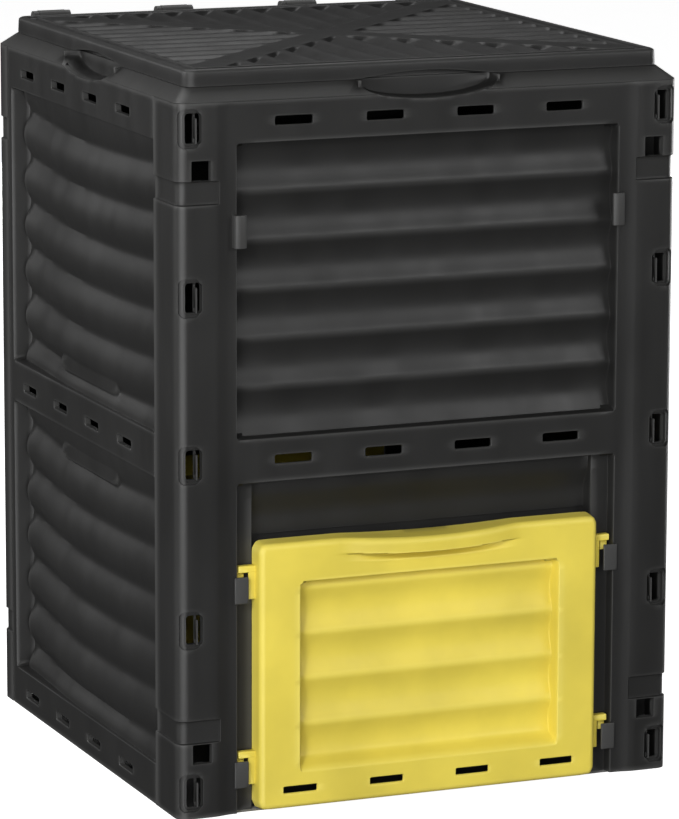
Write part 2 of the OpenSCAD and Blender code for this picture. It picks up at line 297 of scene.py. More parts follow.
def soft_box(low, high, r, axis=1):
    """A box with its edges rounded: sections along an axis, smaller at both ends."""
    low, high = np.array(low, float), np.array(high, float)
    size, mid = high - low, (low + high) / 2
    u, v = [a for a in range(3) if a != axis]
    sections = []
    for t, s in [(a, 1) for a in (0, 30, 60, 90)] + [(a, -1) for a in (90, 60, 30, 0)]:
        inset = r * (1 - math.sin(math.radians(t)))
        along = r * (1 - math.cos(math.radians(t)))
        o = rounded_rect(size[u] - 2 * inset, size[v] - 2 * inset, max(r - inset * 0.6, 0.15), 3)
        p = np.zeros((len(o), 3))
        p[:, u], p[:, v] = mid[u] + o[:, 0], mid[v] + o[:, 1]
        p[:, axis] = low[axis] + along if s == 1 else high[axis] - along
        sections.append(p)
    return prism(sections)


def tube_x(x0, x1, y, z, r, steps=40):
    a = np.linspace(0, 2 * np.pi, steps, endpoint=False)
    ring = np.column_stack([np.zeros(steps), y + r * np.cos(a), z + r * np.sin(a)])
    return prism([ring + [x0, 0, 0], ring + [x1, 0, 0]])


def joined(parts):
    """Several (points, faces) bodies as one."""
    points, faces, base = [], [], 0
    for p, f in parts:
        points.append(np.asarray(p, float))
        faces += [[base + int(i) for i in face] for face in f]
        base += len(p)
    return np.vstack(points), faces


def moved_to(body, side):
    return turned(body[0], side), body[1]


def mesh_object(name, points, faces):
    """A Blender object from points in millimetres, with its faces outwards."""
    points = np.asarray(points, float)
    if isinstance(faces, np.ndarray):
        if quads_volume(points, faces) < 0:
            faces = faces[:, ::-1]
        faces = faces.tolist()
    else:
        faces = outward(points, faces)
    mesh = bpy.data.meshes.new(name)
    mesh.from_pydata((points * MM).tolist(), [], faces)
    mesh.update()
    obj = bpy.data.objects.new(name, mesh)
    bpy.context.scene.collection.objects.link(obj)
    return obj


def outward(points, faces):
    """Faces of several separate bodies, each body turned outwards."""
    parent = list(range(len(points)))

    def root(i):
        while parent[i] != i:
            parent[i] = parent[parent[i]]
            i = parent[i]
        return i

    for f in faces:
        r = root(f[0])
        for i in f[1:]:
            parent[root(i)] = r
    groups = {}
    for f in faces:
        groups.setdefault(root(f[0]), []).append(f)
    out = []
    for group in groups.values():
        flip = signed_volume(points, group) < 0
        out += [f[::-1] if flip else f for f in group]
    return out


def carve(obj, body, operation):
    """Cuts a (points, faces) body out of obj, or adds it to obj."""
    tool = mesh_object(obj.name + "_tool", *body)
    modifier = obj.modifiers.new("carve", "BOOLEAN")
    modifier.operation = operation
    modifier.object = tool
    modifier.solver = "MANIFOLD"
    graph = bpy.context.evaluated_depsgraph_get()
    mesh = bpy.data.meshes.new_from_object(obj.evaluated_get(graph))
    obj.modifiers.remove(modifier)
    old = obj.data
    obj.data = mesh
    bpy.data.meshes.remove(old)
    tool_mesh = tool.data
    bpy.data.objects.remove(tool)
    bpy.data.meshes.remove(tool_mesh)
    if not len(mesh.polygons):
        raise RuntimeError(f"the {operation} on {obj.name} left nothing")
    return obj


def finish_piece(obj, material, body, nodes=(), angle=32.0):
    obj.data.shade_smooth()
    obj.data.set_sharp_from_angle(angle=math.radians(angle))
    obj.data.materials.clear()
    obj.data.materials.append(material)
    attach(obj, body)
    if nodes:
        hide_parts(*nodes)
    return obj


# ---------------------------------------------------------------- materials
def node_tree(name):
    material = bpy.data.materials.new(name)
    material.use_nodes = True
    nodes, links = material.node_tree.nodes, material.node_tree.links
    return material, nodes, links, nodes["Principled BSDF"]


def add_noise(nodes, links, coords, scale, detail, stretch=(1, 1, 1)):
    mapping = nodes.new("ShaderNodeMapping")
    mapping.inputs["Scale"].default_value = stretch
    links.new(coords, mapping.inputs["Vector"])
    noise = nodes.new("ShaderNodeTexNoise")
    noise.inputs["Scale"].default_value = scale
    noise.inputs["Detail"].default_value = detail
    links.new(mapping.outputs["Vector"], noise.inputs["Vector"])
    return noise.outputs["Fac"]


def ramp(nodes, links, value, stops):
    node = nodes.new("ShaderNodeValToRGB")
    elements = node.color_ramp.elements
    for element, (position, color) in zip(elements, (stops[0], stops[-1])):
        element.position, element.color = position, (*color, 1.0)
    for position, color in stops[1:-1]:
        element = elements.new(position)
        element.color = (*color, 1.0)
    links.new(value, node.inputs["Fac"])
    return node.outputs["Color"]


def moulded_plastic(name, color, worn_and_glint, rough, grain=0.12, sink=0.18, specular=0.5):
    """Injection-moulded plastic: fine grain, faint sink marks and flow marks, and paler convex
    edges that are partly wear and partly a painted edge highlight.
    """
    material, nodes, links, shader = node_tree(name)
    coords = nodes.new("ShaderNodeTexCoord").outputs["Object"]
    cloud = add_noise(nodes, links, coords, 7.0, 4.0)
    flow = add_noise(nodes, links, coords, 26.0, 5.0, (1.0, 1.0, 0.25))
    fine = add_noise(nodes, links, coords, 1300.0, 2.0)
    dark = tuple(c * 0.86 for c in color)
    light = tuple(c * 1.12 for c in color)
    base = ramp(nodes, links, cloud, [(0.32, dark), (0.7, light)])
    # paler colour on convex edges: partly rubbed wear, partly a painted highlight along the edges
    edge = nodes.new("ShaderNodeNewGeometry").outputs["Pointiness"]
    wear_and_glint = ramp(nodes, links, edge, [(0.505, (0, 0, 0)), (0.56, (1, 1, 1))])
    mix = nodes.new("ShaderNodeMix")
    mix.data_type = "RGBA"
    links.new(wear_and_glint, mix.inputs["Factor"])
    links.new(base, mix.inputs[6])
    mix.inputs[7].default_value = (*worn_and_glint, 1.0)
    links.new(mix.outputs[2], shader.inputs["Base Color"])
    gloss = ramp(
        nodes, links, flow,
        [(0.3, (rough - 0.05,) * 3), (0.7, (rough + 0.07,) * 3)],
    )
    links.new(gloss, shader.inputs["Roughness"])
    shader.inputs["Specular IOR Level"].default_value = specular
    bump = nodes.new("ShaderNodeBump")
    bump.inputs["Strength"].default_value = grain
    bump.inputs["Distance"].default_value = 0.0003
    links.new(fine, bump.inputs["Height"])
    wide = nodes.new("ShaderNodeBump")
    wide.inputs["Strength"].default_value = sink
    wide.inputs["Distance"].default_value = 0.002
    links.new(flow, wide.inputs["Height"])
    links.new(bump.outputs["Normal"], wide.inputs["Normal"])
    links.new(wide.outputs["Normal"], shader.inputs["Normal"])
    return material


# the third colour of each is the paler edge colour, partly wear and partly a painted edge highlight
BLACK = moulded_plastic("black_moulded", (0.014, 0.0139, 0.0135), (0.05, 0.05, 0.049), 0.42)
LID_BLACK = moulded_plastic("lid_moulded", (0.012, 0.0119, 0.0117), (0.05, 0.05, 0.049), 0.44,
                           specular=0.42)
CLIP_BLACK = moulded_plastic("clip_moulded", (0.012, 0.012, 0.0118), (0.05, 0.05, 0.049), 0.46)
YELLOW = moulded_plastic("yellow_moulded", (0.745, 0.605, 0.082), (0.83, 0.7, 0.14), 0.45,
                         grain=0.08, sink=0.1)


# ---------------------------------------------------------------- walls
def unrolled(s, half, face, radius):
    """Plan of a wall that turns back at both ends: points and outward normals along s."""
    a, sign = np.abs(s), np.sign(s)
    flat = half - radius
    turn = np.clip((a - flat) / radius, 0, np.pi / 2)
    beyond = np.maximum(a - flat - radius * np.pi / 2, 0)
    x = sign * (np.minimum(a, flat) + radius * np.sin(turn))
    y = -face + radius * (1 - np.cos(turn)) + beyond
    return x, y, sign * np.sin(turn), -np.cos(turn)


def field_depth(base, s, z, box, sheet, grow, radius=4.0, width=EDGE_W):
    """Base depth with a recessed field let into it, whose floor is the sheet's depth."""
    u0, u1, v0, v1 = box
    distance = rect_distance(s, z, u0 - grow, u1 + grow, v0 - grow, v1 + grow, radius)
    mask = fade(distance, width)
    return base * (1 - mask) + np.maximum(sheet, base) * mask


def door_wall_depth(s, z, grow):
    """Depth of a front or rear wall behind its columns; grow widens every recess."""
    a = np.abs(s)
    depth = PAD_RISE * fade(a - PAD_HALF, PAD_FADE)
    period = (FIELD_Z[1] - FIELD_Z[0]) / WAVES
    sheet = scallop(z, FIELD_Z[0], period, CREST, VALLEY)
    depth = field_depth(depth, s, z, (-FIELD_HALF, FIELD_HALF, *FIELD_Z), sheet, grow)
    bay = (-FIELD_HALF, FIELD_HALF, BELOW_GROUND, MID_LOW)
    depth = field_depth(depth, s, z, bay, np.full_like(z, CHANNEL_DEPTH), grow)
    curve = wave(z, BAY_WAVE_Z, BAY_WAVE_PITCH, BAY_CREST, BAY_VALLEY)
    back = np.where(z < BAY_SILL, BAY_DEPTH, np.where(z > BAY_ROUND, curve, BAY_VALLEY))
    inner_bay = (-BAY_HALF, BAY_HALF, BELOW_GROUND, MID_LOW)
    depth = field_depth(depth, s, z, inner_bay, back, grow)
    for low, high in GROOVE_Z:
        shallow = np.where(a > HALF - CORNER_R, 3.0 - 0.8 * smooth((a - 288) / 19), 3.0)
        mask = fade(rect_distance(a, z, PAD_HALF + 3, 500.0, low, high, 1.0), 1.6)
        depth = np.maximum(depth, shallow * mask)
    return depth


def door_wall_grid(return_len):
    length = HALF - CORNER_R + CORNER_R * math.pi / 2 + return_len - CORNER_R
    arc = HALF - CORNER_R
    s_edges = []
    for sign in (-1, 1):
        s_edges += [(sign * p, w) for p, w in
                    [(PAD_HALF, PAD_FADE), (FIELD_HALF, EDGE_W), (FIELD_HALF + 3, EDGE_W),
                     (BAY_HALF, EDGE_W),
                     (PAD_HALF + 3, 1.6), (arc + 9.4, 17.0)]]
    z_edges = [(FIELD_Z[1], EDGE_W), (FIELD_Z[0], EDGE_W), (MID_LOW, EDGE_W), (BAY_SILL, 2.0)]
    z_edges += [(z, 1.6) for pair in GROOVE_Z for z in pair]
    return spaced(-length, length, 11.0, s_edges), spaced(0.0, WALL_H, 3.4, z_edges)


def wrapped_patch(s0, z0, w, h, r, depth):
    """A rounded rectangle that follows the corner column, from outside down to a depth."""
    us = spaced(-w / 2, w / 2, 2.0, [(w / 2 - r, 0.5), (r - w / 2, 0.5)])
    vs = spaced(-h / 2, h / 2, 2.5, [(h / 2 - r, 0.5), (r - h / 2, 0.5)])
    u, v = rounded_grid(w / 2, h / 2, r, us, vs)
    x, y, nx, ny = unrolled(s0 + u, HALF, HALF, CORNER_R)
    top = np.stack([x + nx * 2, y + ny * 2, z0 + v], -1)
    floor = np.stack([x - nx * depth, y - ny * depth, z0 + v], -1)
    return shell(top, floor)


def scoop_outline(shrink=0.0):
    """Half an ellipse hanging from the lid's edge, as (along, z) points."""
    half, drop = SCOOP_HALF - shrink, SCOOP_DROP - shrink * 0.5
    out = [(-half, SCOOP_TOP)]
    for k in range(33):
        a = math.pi + math.pi * k / 32
        out.append((half * math.cos(a), SCOOP_MID + drop * math.sin(a)))
    out.append((half, SCOOP_TOP))
    return np.array(out)


def scoop_cutter(depths, shrinks=None):
    """The scoop's outline through depths behind y = -300, each drawn in by its shrink."""
    shrinks = shrinks or (0.0,) * len(depths)
    sections = []
    for depth, shrink in zip(depths, shrinks):
        o = scoop_outline(shrink)
        sections.append(np.column_stack([o[:, 0], np.full(len(o), -HALF + depth), o[:, 1]]))
    return prism(sections)


def block(low, high):
    """A plain cutter box between two corners."""
    (x0, y0, z0), (x1, y1, z1) = low, high
    ends = [[(x0, y, z0), (x1, y, z0), (x1, y, z1), (x0, y, z1)] for y in (y0, y1)]
    return prism([np.array(end, float) for end in ends])


def door_wall(name, side, return_len, front):
    s, z = door_wall_grid(return_len)
    S, Z = np.meshgrid(s, z, indexing="ij")
    x, y, nx, ny = unrolled(S, HALF, HALF, CORNER_R)
    outer_depth = door_wall_depth(S, Z, 0.0)
    thick = SKIN + PAD_RISE * fade(np.abs(S) - (HALF - CORNER_R + 4), 8.0)
    inner_depth = np.maximum(thick, np.minimum(door_wall_depth(S, Z, 3.0) + SKIN, 60.0))
    on_return = np.abs(S) > HALF - 2
    inner_depth = np.where(on_return, np.minimum(inner_depth, SKIN), inner_depth)

    def at(depth):
        return np.stack([x - nx * depth, y - ny * depth, Z], -1)

    points, quads = shell(at(outer_depth), at(inner_depth))
    obj = mesh_object(name, turned(points, side), quads)

    pockets, steps, holes, plates, feet = [], [], [], [], []
    for sign in (-1, 1):
        for z0 in SLOT_Z:
            pockets.append(wrapped_patch(sign * (SLOT_X + 5.3), z0, 25.5, 43.0, 8.0, 1.5))
            steps.append(wrapped_patch(sign * (SLOT_X + 2.6), z0, 20.0, 38.0, 6.0, 3.0))
            holes.append(front_prism(sign * SLOT_X, z0, SLOT_W, SLOT_L, SLOT_R,
                                     (-2.0, 2.4, 3.2, 20.0), (0.6, 0.6, 0.0, 0.0)))
        for z0 in LOCK_Z:
            holes.append(front_prism(sign * LOCK_X, z0, LOCK_W, LOCK_W, 1.2,
                                     (-2.0, -0.2, 0.7, 20.0), (1.2, 0.6, 0.0, 0.0)))
        for z0 in CLIP_Z:
            plate_x, foot_x, end_x, top = 216.5, 229.5, 233.0, z0 + CLIP_H
            plates.append(mirrored_box(sign, (plate_x, -HALF, z0), (end_x, -HALF + 3, top), 0.9))
            feet.append(mirrored_box(sign, (foot_x, -HALF + 1, z0), (end_x, -HALF + 8, top), 0.6))
    for z0 in BAND_Z:
        for k in (-1.5, -0.5, 0.5, 1.5):
            holes.append(front_prism(k * VENT_PITCH, z0, VENT_L, VENT_H, 2.6,
                                     (0.0, PAD_RISE - 0.2, PAD_RISE + 0.8, 20.0),
                                     (1.4, 0.9, 0.0, 0.0)))
    half_w, low, high = DOORWAY
    holes.append(front_prism(0.0, (low + high) / 2, 2 * half_w, high - low, 6.0,
                             (25.0, 60.0), (0.0, 0.0)))
    carve(obj, moved_to(joined(pockets), side), "DIFFERENCE")
    carve(obj, moved_to(joined(steps), side), "DIFFERENCE")
    if front:
        holes.append(scoop_cutter((-3.0, 0.0, 7.6)))
    carve(obj, moved_to(joined(holes), side), "DIFFERENCE")
    carve(obj, moved_to(joined(plates), side), "UNION")
    carve(obj, moved_to(joined(feet), side), "UNION")
    return finish_piece(obj, BLACK, "bin", [name])


def mirrored_box(sign, low, high, r):
    """A soft box on the right (sign 1) or its mirror image on the left (sign -1)."""
    points, faces = soft_box(low, high, r)
    points = points * np.array([sign, 1, 1])
    return points, faces


def side_wall_depth(u, z, grow):
    """Depth of a side wall behind its bands, with u from the front to the rear."""
    near, far = SIDE_FIELD
    start, end = SIDE_FLUSH_ENDS
    depth = -SIDE_FLUSH * smooth((u - start) / 1.5) * smooth((end - u) / 1.5)
    along = np.clip((far - u) / (far - near), 0, 1)
    bow = SIDE_BOW * smooth(along / 0.45)
    sag = SIDE_SAG * 4 * along * (1 - along)
    tips = 0.7 * smooth((u - (far - 9.0)) / 9.0)
    for (low, high), plate in zip((FIELD_Z, LOW_FIELD_Z), PLATE_Z):
        period = (high - low) / WAVES
        inner = smooth((z - low) / 30.0) * smooth((high - z) / 30.0)
        swing = (SIDE_VALLEY - SIDE_CREST) * (1 - 0.35 * along)
        t = 1 - np.sqrt(1 - 0.985 * wave(z + sag * inner, low, period, 0.0, 1.0))
        sheet = SIDE_CREST + swing * (t + (1 - t) * tips) - bow
        # blank oval plate in the wave next to the middle band
        oval = (*PLATE_ENDS, plate - PLATE_HALF, plate + PLATE_HALF)
        mask = fade(rect_distance(u, z, *oval, PLATE_HALF - 0.1), 4.0)
        sheet = sheet + (np.minimum(sheet, SIDE_CREST - SIDE_BOW + 3.0) - sheet) * mask
        depth = field_depth(depth, u, z, (near, far, low, high), sheet, grow)
    return depth


def side_wall(name, side):
    radius = 3.0
    flat = FLANGE_X - radius
    length = flat + radius * math.pi / 2 + 25.0
    near, far = SIDE_FIELD
    u_edges = [(near, EDGE_W), (far, EDGE_W), (near - 3, EDGE_W), (far + 3, EDGE_W),
               (far - 14, 26.0),
               (flat + 2.4, 4.7), (-flat - 2.4, 4.7), (-226.7, 1.5), (265.2, 1.5),
               (PLATE_ENDS[0], 4.0), (PLATE_ENDS[1], 4.0)]
    z_edges = [(z, EDGE_W) for z in (*FIELD_Z, *LOW_FIELD_Z)]
    z_edges += [(FIELD_Z[1] + 3, EDGE_W), (LOW_FIELD_Z[0] - 3, EDGE_W)]
    z_edges += [(z + e, 4.0) for z in PLATE_Z for e in (-PLATE_HALF, PLATE_HALF)]
    s = spaced(-length, length, 10.0, u_edges)
    z = spaced(0.0, WALL_H, 3.4, z_edges)
    S, Z = np.meshgrid(s, z, indexing="ij")
    x, y, nx, ny = unrolled(S, FLANGE_X, SIDE_FACE, radius)
    outer_depth = side_wall_depth(S, Z, 0.0)
    inner_depth = np.maximum(side_wall_depth(S, Z, 3.0) + SKIN, SKIN)
    inner_depth = np.where(np.abs(S) > flat, 2.7, inner_depth)

    def at(depth):
        return np.stack([x - nx * depth, y - ny * depth, Z], -1)

    # s runs from the front to the rear on both walls, so the left one is mirrored first
    flip = np.array([-1.0 if side == "left" else 1.0, 1.0, 1.0])
    points, quads = shell(at(outer_depth), at(inner_depth))
    obj = mesh_object(name, turned(points * flip, side), quads)
    holes = [scoop_cutter((-3.0, 0.0, 7.9))]
    for z0 in SIDE_VENT_Z:
        for u in SIDE_VENTS:
            holes.append(front_prism(flip[0] * u, z0, VENT_L, VENT_H, 2.6,
                                     (-1.0, 0.3, 1.2, 24.0), (1.4, 0.9, 0.0, 0.0)))
    for sign in (-1, 1):
        x0, x1 = sorted((sign * 287.0, sign * 297.0))
        for z0 in SLOT_Z:
            for y0, y1 in ((-289.5, -TONGUE_X - 0.2), (-TONGUE_X + 2.0, -262.0)):
                holes.append(block((x0, y0, z0 - SLOT_L / 2), (x1, y1, z0 + SLOT_L / 2)))
        for z0 in LOCK_Z:
            holes.append(block((x0, -LOCK_X - 11.0, z0 - 11.0), (x1, -262.0, z0 + 11.0)))
    carve(obj, moved_to(joined(holes), side), "DIFFERENCE")
    tongues = [tongue(sign, z0) for sign in (-1, 1) for z0 in SLOT_Z]
    carve(obj, moved_to(joined(tongues), side), "UNION")
    return finish_piece(obj, BLACK, "bin", [name])


def tongue(sign, z0):
    """A flat tongue that goes through a column slot, with a nib that drops behind its edge."""
    outline = [(291.0, 11.0), (298.4, 11.0), (298.8, 10.4), (298.8, -16.6), (298.4, -17.0),
               (297.8, -17.0), (297.8, -11.0), (291.0, -11.0)]
    sections = []
    for y in (-TONGUE_X, -TONGUE_X + 1.8):
        sections.append(np.array([(sign * px, y, z0 + pz) for px, pz in outline]))
    return prism(sections)


door_wall("front_wall", "front", FRONT_RETURN, True)
door_wall("rear_wall", "rear", REAR_RETURN, False)
side_wall("left_wall", "left")
side_wall("right_wall", "right")


# ---------------------------------------------------------------- collar
def unit_loop(lines, corner_steps):
    """Points round a square: where they sit on its straight part (-1 to 1) and which way out is."""
    core, out = [], []
    sides = [((1, 0), (0, 1)), ((0, 1), (-1, 0)), ((-1, 0), (0, -1)), ((0, -1), (1, 0))]
    for (ox, oy), (dx, dy) in sides:
        for t in lines:
            core.append((ox + dx * t, oy + dy * t))
            out.append((ox, oy))
        a0 = math.atan2(oy, ox)
        for k in range(1, corner_steps):
            a = a0 + math.pi / 2 * k / corner_steps
            core.append((ox + dx, oy + dy))
            out.append((math.cos(a), math.sin(a)))
    return np.array(core, float), np.array(out, float)


def ring_at(loop, half, radius, z):
    """Points at height z round a square of the given half width and corner radius."""
    core, out = loop
    xy = core * (half - radius) + out * radius
    return np.column_stack([xy, np.broadcast_to(z, len(xy))])


def make_collar():
    lines = spaced(-1.0, 1.0, 0.05)
    loop = unit_loop(lines, 8)
    profile = [
        (299.2, 12.0, 796.0), (299.9, 12.0, 796.35), (300.0, 12.0, 797.0),
        (284.2, 11.0, 810.5), (283.3, 10.5, 811.0), (282.6, 10.0, 811.0),
        (273.0, 7.0, 811.0), (272.2, 6.6, 811.5), (272.0, 6.5, 812.5),
        (272.0, 6.5, 821.2), (271.6, 6.3, 821.8), (271.0, 6.0, 822.0),
        (270.0, 5.6, 822.0), (269.4, 5.3, 821.8), (269.0, 5.0, 821.2),
        (269.0, 5.0, 812.0), (263.0, 4.0, 811.0), (262.0, 4.0, 810.2), (262.0, 4.0, 808.2),
        (263.0, 4.0, 807.5), (279.5, 8.0, 807.5), (296.3, 9.0, 796.5), (296.8, 9.5, 796.0),
    ]
    points, quads = band_loop([ring_at(loop, h, r, z) for h, r, z in profile])
    obj = mesh_object("collar", points, quads)
    stop = soft_box((-85, -292.4, 785.5), (85, -271, 811), 1.0)
    stops = [moved_to(stop, side) for side in ("front", "left", "right")]
    rail = soft_box((-240, -292.4, 784), (240, -289.4, 801), 1.0, 2)
    rails = [moved_to(rail, side) for side in TURNS]
    lugs = []
    for x in KNUCKLE_X:
        for x0 in (x - KNUCKLE_W / 2 - 0.4 - LUG_W, x + KNUCKLE_W / 2 + 0.4):
            outline = [(HINGE_Y + 4, 799.0), (HINGE_Y - 6.0, 799.0)]
            for k in range(19):
                a = math.radians(200 - 220 * k / 18)
                outline.append((HINGE_Y + LUG_R * math.cos(a), HINGE_Z + LUG_R * math.sin(a)))
            outline = [(min(y, HINGE_Y + 7.4), z) for y, z in outline]
            ends = [np.array([(xx, y, z) for y, z in outline]) for xx in (x0, x0 + LUG_W)]
            lugs.append(prism(ends))
    for group in (stops, rails, lugs):
        carve(obj, joined(group), "UNION")
    scoop = scoop_cutter((-3.0, 0.0, 12.0, SCOOP_BACK - 4, SCOOP_BACK - 1.2, SCOOP_BACK),
                         (-0.6, 0.0, 0.6, 1.6, 2.8, 4.8))
    cuts = [moved_to(scoop, side) for side in ("front", "left", "right")]
    cuts += [tube_x(x - 30, x + 30, HINGE_Y, HINGE_Z, PIN_R + 0.03) for x in KNUCKLE_X]
    carve(obj, joined(cuts), "DIFFERENCE")
    return finish_piece(obj, BLACK, "bin", ["collar"])


make_collar()


# ---------------------------------------------------------------- lid
def lid_depth(x, y):
    """How far the lid's top lies below its highest plane, inside the gutter."""
    ax, ay = np.abs(x), np.abs(y)
    along = np.where(ay >= ax, x, y)
    to_band = (np.maximum(ax, ay) - np.minimum(ax, ay)) / math.sqrt(2) - 20.0
    to_edge = 259.0 - np.maximum(ax, ay)
    valley = LID_VALLEY * (1 - np.cos(2 * np.pi * along / LID_PITCH)) / 2
    inside = fade(-np.minimum(to_band, to_edge), 3.6)
    return 0.8 + valley * inside


def rim_frame(x, y, half, radius):
    """For the rim of a grid: place along the straight part, and the way out."""
    n, m = x.shape
    rim = grid_rim(n, m)
    p = np.column_stack([x.ravel()[rim], y.ravel()[rim]])
    core = np.clip(p, -(half - radius), half - radius)
    out = p - core
    out = out / np.linalg.norm(out, axis=1, keepdims=True)
    return core / (half - radius), out


def make_lid():
    half, radius = 262.0, 3.0
    lines = spaced(-half, half, 2.7, [(-half + 1.5, 2.4), (half - 1.5, 2.4)])
    x, y = rounded_grid(half, half, radius, lines, lines)
    top = np.stack([x, y, LID_TOP - lid_depth(x, y)], -1)
    bottom = np.stack([x, y, LID_TOP - LID_SKIN - lid_depth(x, y)], -1)
    loop = rim_frame(x, y, half, radius)
    rings = []
    profile = [
        (262.6, 3.3, 829.6), (263.2, 3.6, 829.75), (263.9, 4.0, 829.5), (264.5, 4.3, 828.6),
        (265.3, 4.6, 827.2), (266.4, 5.0, 826.7), (271.0, 7.0, 826.7), (272.2, 7.4, 827.0),
        (273.2, 7.8, 828.0), (274.0, 8.2, 829.2), (275.2, 8.7, 829.9), (277.0, 9.4, 830.0),
        (279.5, 10.4, 829.7), (281.3, 11.2, 828.8), (282.5, 11.7, 827.4), (282.8, 12.0, 825.5),
        (283.0, 12.0, 820.0), (283.2, 12.0, 815.5), (283.2, 12.0, 812.6), (283.1, 12.0, 811.7),
        (282.7, 11.6, 811.3), (281.0, 10.4, 811.3), (280.4, 10.0, 811.6), (280.0, 9.6, 812.6),
        (279.6, 9.4, 822.0), (278.5, 9.0, 825.8), (276.5, 8.4, 826.6), (274.5, 7.6, 826.0),
        (273.0, 7.0, 824.2), (271.0, 6.4, 823.6), (266.0, 4.8, 823.6), (264.6, 4.2, 824.6),
        (263.4, 3.6, 826.2),
    ]
    for h, r, z in profile:
        ring = ring_at(loop, h, r, z)
        t = np.where(np.abs(ring[:, 0]) > np.abs(ring[:, 1]), ring[:, 1], ring[:, 0])
        rear = (ring[:, 1] > 0) & (np.abs(ring[:, 1]) >= np.abs(ring[:, 0]))
        arch = SCOOP_ARCH * np.clip(1 - (t / 86.0) ** 2, 0, 1) ** 1.3
        share = np.clip((825.5 - z) / (825.5 - 812.6), 0, 1)
        ring[:, 2] += np.where(rear, 0.0, arch * share)
        rings.append(ring)
    points, quads = loft(top, rings, bottom)
    obj = mesh_object("lid", points, quads)
    webs, barrels, bores = [], [], []
    for kx in KNUCKLE_X:
        x0, x1 = kx - KNUCKLE_W / 2, kx + KNUCKLE_W / 2
        barrels.append(tube_x(x0, x1, HINGE_Y, HINGE_Z, KNUCKLE_R))
        webs.append(soft_box((x0 + 0.6, 281.5, 820.6), (x1 - 0.6, 292.0, 829.2), 0.8, 0))
        bores.append(tube_x(x0 - 2, x1 + 2, HINGE_Y, HINGE_Z, PIN_R + 0.08))
    carve(obj, joined(webs), "UNION")
    carve(obj, joined(barrels), "UNION")
    carve(obj, joined(bores), "DIFFERENCE")
    return finish_piece(obj, LID_BLACK, "lid", ["lid"])


make_lid()


# ---------------------------------------------------------------- doors
def door_front_depth(x, z):
    """Depth of the door's face behind its front plane."""
    sheet = scallop(z, DOOR_WAVE_Z, DOOR_WAVE_PITCH, DOOR_CREST, DOOR_VALLEY)
    box = (-WINDOW_HALF, WINDOW_HALF, *WINDOW_Z)
    mask = fade(rect_distance(x, z, *box, 7.0), 3.0)
    return sheet * mask * smooth((z - WINDOW_Z[0]) / 15.0)


def lip_shift(points):
    """The handle: the top front edge bulges forwards in a bow over a sharp crease."""
    x, y, z = points[..., 0], points[..., 1], points[..., 2]
    bow = np.clip(1 - (x / LIP_HALF) ** 2, 0, 1)
    crease = 287.5 - 3.5 * bow
    main = smooth((z - crease) / 2.0 + 0.5)
    up = 0.8 * main + 0.2 * smooth((z - crease + 10.0) / 4.0 + 0.5)
    hollow = LIP_HOLLOW * smooth((z - crease + 13.0) / 12.0) * (1 - main)
    ahead = smooth((-y - 281.0) / 18.0)
    out = points.copy()
    out[..., 1] -= (LIP_BULGE * up - hollow) * bow * ahead
    out[..., 2] -= 2.6 * bow * smooth((z - crease) / 12.0)
    return out


def make_door(name, side, body):
    half_x, low, high = DOOR_HALF - DOOR_EDGE, DOOR_LOW + DOOR_EDGE, DOOR_TOP - DOOR_EDGE
    xs = spaced(-half_x, half_x, 9.0, [(-WINDOW_HALF, 3.0), (WINDOW_HALF, 3.0),
                                       (-half_x + 1, 1.8), (half_x - 1, 1.8)])
    zs = spaced(low, high, 3.0, [(WINDOW_Z[0], 3.0), (WINDOW_Z[1], 3.0),
                                 (276.5, 4.5), (285.8, 5.5)])
    X, Z = np.meshgrid(xs, zs, indexing="ij")
    depth = door_front_depth(X, Z)
    front = np.stack([X, -DOOR_FRONT + depth, Z], -1)
    back = np.stack([X, -DOOR_FRONT + depth + DOOR_SKIN, Z], -1)
    rim = grid_rim(*X.shape)
    flat = np.column_stack([X.ravel()[rim], Z.ravel()[rim]])

    corner = 3.0
    core = np.column_stack([np.clip(flat[:, 0], -half_x + corner, half_x - corner),
                            np.clip(flat[:, 1], low + corner, high - corner)])
    out = flat - core
    out = out / np.linalg.norm(out, axis=1, keepdims=True)

    def ring(grow, y):
        """The door's outline, grown outwards by grow from the rim of the face."""
        p = core + out * (corner + grow)
        return np.column_stack([p[:, 0], np.full(len(p), y), p[:, 1]])

    rings = []
    edge = DOOR_EDGE
    for a in (15, 30, 45, 60, 75, 90):
        t = math.radians(a)
        rings.append(ring(edge * math.sin(t), -DOOR_FRONT + edge * (1 - math.cos(t))))
    rings.append(ring(edge + 0.9, -292.0))
    rings.append(ring(edge + 1.5, -DOOR_BACK - 0.5))
    rings.append(ring(edge + 1.0, -DOOR_BACK))
    rings.append(ring(edge + 1.5 - DOOR_SKIN, -DOOR_BACK))
    rings.append(ring(edge + 1.0 - DOOR_SKIN, -DOOR_BACK - 0.5))
    rings.append(ring(edge - DOOR_SKIN, -296.0))
    rings.append(ring(3.0, -DOOR_FRONT + DOOR_SKIN + 2.0))
    points, quads = loft(front, rings, back)
    points = lip_shift(points)
    obj = mesh_object(name, turned(points, side), quads)
    webs, arms, tips = [], [], []
    for sign in (-1, 1):
        for z0 in HOOK_Z:
            webs.append(mirrored_box(sign, (199.5, -293.0, z0 - 30), (214.0, -290.0, z0 + 7), 0.8))
            arms.append(mirrored_box(sign, (199.5, -293.4, z0 + 0.4), (226.0, -284.5, z0 + 8), 1.3))
            tips.append(mirrored_box(sign, (217.5, -287.5, z0 - 11), (225.8, -284.6, z0 + 4), 0.9))
    for group in (webs, arms, tips):
        carve(obj, moved_to(joined(group), side), "UNION")
    vents = [front_prism(x, DOOR_VENT_Z, DOOR_VENT_L, DOOR_VENT_H, 1.5,
                         (-8.0, -5.8, -5.0, 10.0), (1.0, 0.8, 0.0, 0.0)) for x in DOOR_VENT_X]
    carve(obj, moved_to(joined(vents), side), "DIFFERENCE")
    return finish_piece(obj, YELLOW, body, [name])


make_door("front_door", "front", "front_door")
make_door("rear_door", "rear", "rear_door")


